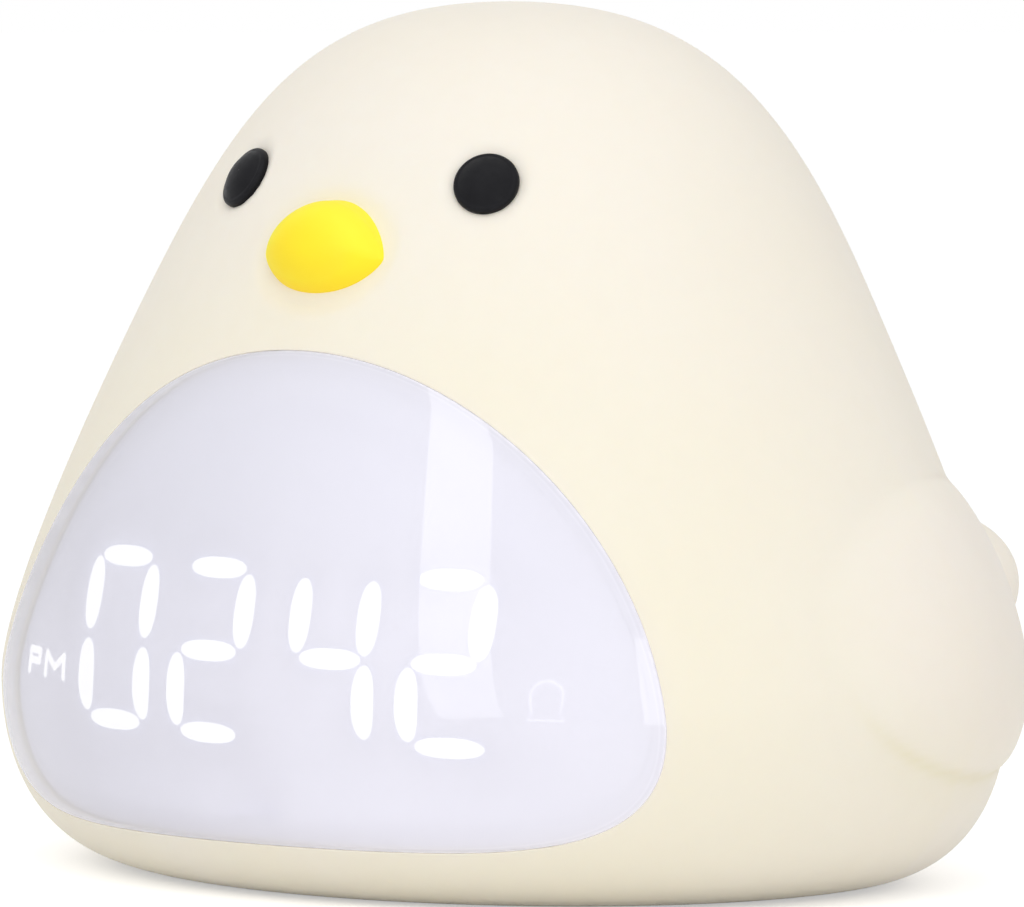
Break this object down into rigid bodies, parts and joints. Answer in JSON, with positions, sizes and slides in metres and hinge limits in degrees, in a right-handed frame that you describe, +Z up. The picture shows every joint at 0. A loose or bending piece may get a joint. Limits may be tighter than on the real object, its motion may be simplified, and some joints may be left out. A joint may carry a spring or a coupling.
{
  "type": "kids alarm clock with night light",
  "caption": "Chick-shaped bedside alarm clock with a soft silicone sleeve, glossy belly display, control panel in the back and a night light inside.",
  "frame": {"origin": "on the table, in the middle of the clock's own box", "axes": "+Z up; the face and display look along -Y; +X is on the right of someone who reads the clock"},
  "size_m": [0.1314, 0.0934, 0.1],
  "materials": {
    "sleeve": "matte, soft-touch silicone",
    "milky_shell": "milky, light-diffusing, satin",
    "cream_plastic": "satin",
    "foot_rubber": "matte",
    "eye_black": "satin",
    "beak_yellow": "matte silicone",
    "window": "polished, see-through",
    "tape": "matte",
    "mask": "satin, lavender white",
    "lit": "glowing white",
    "unlit": "satin",
    "white_plastic": "matte",
    "green_board": "lacquered",
    "white_board": "lacquered",
    "lamp": "phosphor yellow",
    "chip_black": "matte",
    "screw_steel": "zinc plated",
    "can_steel": "nickel plated",
    "connector": "matte",
    "ribbon": "satin",
    "cell_sleeve": "shrink sleeve",
    "grey_plastic": "matte",
    "red_wire": "wire jacket",
    "black_wire": "wire jacket",
    "white_wire": "wire jacket",
    "speaker_frame": "black lacquer",
    "speaker_paper": "matte",
    "gasket_foam": "matte foam",
    "copper_foil": "copper foil",
    "button_plastic": "satin",
    "dark_plastic": "satin"
  },
  "bodies": {
    "clock": {"silicone_skin": "sleeve", "inner_shell": "milky_shell", "base_plate": "cream_plastic", "base_screws": "screw_steel", "foot_pads": "foot_rubber", "eye_left": "eye_black", "eye_right": "eye_black", "beak": "beak_yellow", "display_lens": "window", "lens_tape": "tape", "display_mask": "mask", "lit_segments": "lit", "unlit_segments": "unlit", "pm_mark": "lit", "bell_mark": "unlit", "light_guide": "white_plastic", "display_board": "green_board", "display_leds": "lamp", "display_screws": "screw_steel", "display_ribbon": "ribbon", "main_board": "green_board", "main_chips": "chip_black", "crystal": "can_steel", "main_screws": "screw_steel", "lead_connectors": "connector", "battery": "cell_sleeve", "battery_cradle": "grey_plastic", "cradle_screws": "screw_steel", "battery_lead": "red_wire", "speaker": "speaker_frame", "speaker_cone": "speaker_paper", "speaker_gasket": "gasket_foam", "speaker_lead": "black_wire", "light_tower": "white_plastic", "light_board": "white_board", "light_leds": "lamp", "light_screws": "screw_steel", "light_lead": "white_wire", "touch_pad": "copper_foil", "touch_lead": "white_wire", "control_panel": "cream_plastic", "control_board": "green_board", "control_screws": "screw_steel", "control_ribbon": "ribbon", "tact_switches": "dark_plastic", "slide_switch": "can_steel", "usb_socket": "can_steel"},
    "light_key": {"button_light": "button_plastic", "plunger_light": "dark_plastic"},
    "mode_key": {"button_mode": "button_plastic", "plunger_mode": "dark_plastic"},
    "plus_key": {"button_plus": "button_plastic", "plunger_plus": "dark_plastic"},
    "minus_key": {"button_minus": "button_plastic", "plunger_minus": "dark_plastic"},
    "alarm_switch": {"alarm_slider": "dark_plastic"}
  },
  "joints": [
    {"name": "light_press", "type": "slide", "parent": "clock", "child": "light_key", "axis": [0, -1, 0], "range_m": [0, 0.0006], "stiffness_N_per_m": 900},
    {"name": "mode_press", "type": "slide", "parent": "clock", "child": "mode_key", "axis": [0, -1, 0], "range_m": [0, 0.0006], "stiffness_N_per_m": 900},
    {"name": "plus_press", "type": "slide", "parent": "clock", "child": "plus_key", "axis": [0, -1, 0], "range_m": [0, 0.0006], "stiffness_N_per_m": 900},
    {"name": "minus_press", "type": "slide", "parent": "clock", "child": "minus_key", "axis": [0, -1, 0], "range_m": [0, 0.0006], "stiffness_N_per_m": 900},
    {"name": "alarm_slide", "type": "slide", "parent": "clock", "child": "alarm_switch", "axis": [1, 0, 0], "range_m": [0, 0.002]}
  ]
}
